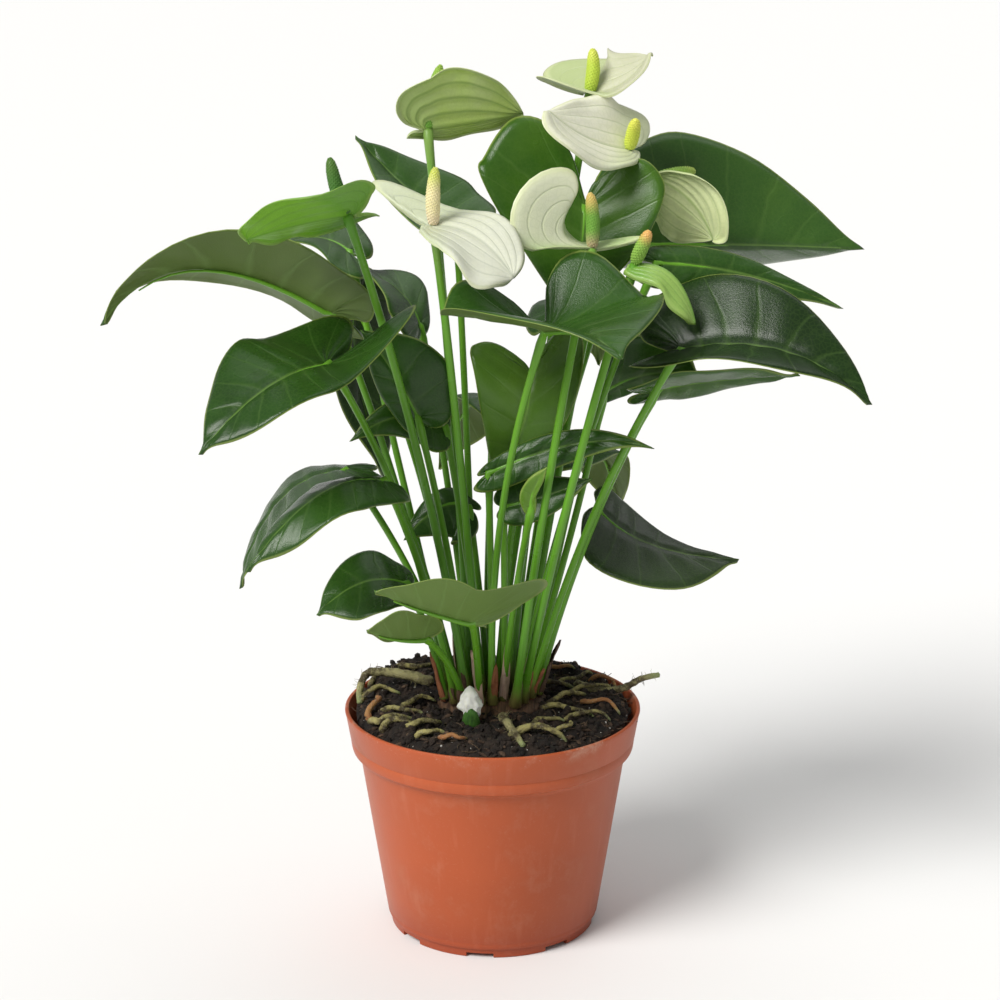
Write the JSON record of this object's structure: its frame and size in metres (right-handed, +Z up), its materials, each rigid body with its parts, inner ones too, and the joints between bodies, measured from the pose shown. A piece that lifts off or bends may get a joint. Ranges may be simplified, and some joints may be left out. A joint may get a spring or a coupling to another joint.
{
  "type": "potted flamingo flower",
  "caption": "White-flowered flamingo flower (anthurium) with heart-shaped dark green leaves, growing in a terracotta-coloured plastic nursery pot with a drained foot",
  "frame": {"origin": "On the pot's axis, at the height of the flat underside of the pot's foot ring", "axes": "+X points right as seen from the front, +Y from the front to the back, +Z up along the axis of the pot"},
  "size_m": [0.3013, 0.1914, 0.3531],
  "materials": {
    "pot_plastic": "satin",
    "potting_soil": "matte",
    "old_sheath": "matte",
    "aerial_root": "matte",
    "leaf": "satin",
    "flower_stalk": "satin",
    "spathe_white": "satin",
    "spathe_pale": "satin",
    "spathe_green": "satin",
    "spadix": "matte"
  },
  "bodies": {
    "root": {"pot": "pot_plastic", "soil": "potting_soil", "crown": "old_sheath", "aerial_root_1": "aerial_root", "aerial_root_2": "aerial_root", "aerial_root_3": "aerial_root", "young_spathe": "spathe_white", "leaf_01": "leaf", "leaf_02": "leaf", "leaf_03": "leaf", "leaf_04": "leaf", "leaf_05": "leaf", "leaf_06": "leaf", "leaf_07": "leaf", "leaf_08": "leaf", "leaf_09": "leaf", "leaf_10": "leaf", "leaf_11": "leaf", "leaf_12": "leaf", "leaf_13": "leaf", "leaf_14": "leaf", "leaf_15": "leaf", "leaf_16": "leaf", "leaf_17": "leaf", "leaf_18": "leaf", "leaf_19": "leaf", "leaf_20": "leaf", "leaf_21": "leaf", "leaf_22": "leaf", "leaf_23": "leaf", "leaf_24": "leaf", "leaf_25": "leaf", "leaf_26": "leaf", "leaf_27": "leaf", "leaf_28": "leaf", "leaf_29": "leaf", "flower_1_stalk": "flower_stalk", "flower_1_spathe": "spathe_green", "flower_1_spadix": "spadix", "flower_2_stalk": "flower_stalk", "flower_2_spathe": "spathe_pale", "flower_2_spadix": "spadix", "flower_3_stalk": "flower_stalk", "flower_3_spathe": "spathe_white", "flower_3_spadix": "spadix", "flower_4_stalk": "flower_stalk", "flower_4_spathe": "spathe_white", "flower_4_spadix": "spadix", "flower_5_stalk": "flower_stalk", "flower_5_spathe": "spathe_white", "flower_5_spadix": "spadix", "flower_6_stalk": "flower_stalk", "flower_6_spathe": "spathe_pale", "flower_6_spadix": "spadix", "flower_7_stalk": "flower_stalk", "flower_7_spathe": "spathe_pale", "flower_7_spadix": "spadix", "flower_8_stalk": "flower_stalk", "flower_8_spathe": "spathe_green", "flower_8_spadix": "spadix"}
  },
  "joints": []
}
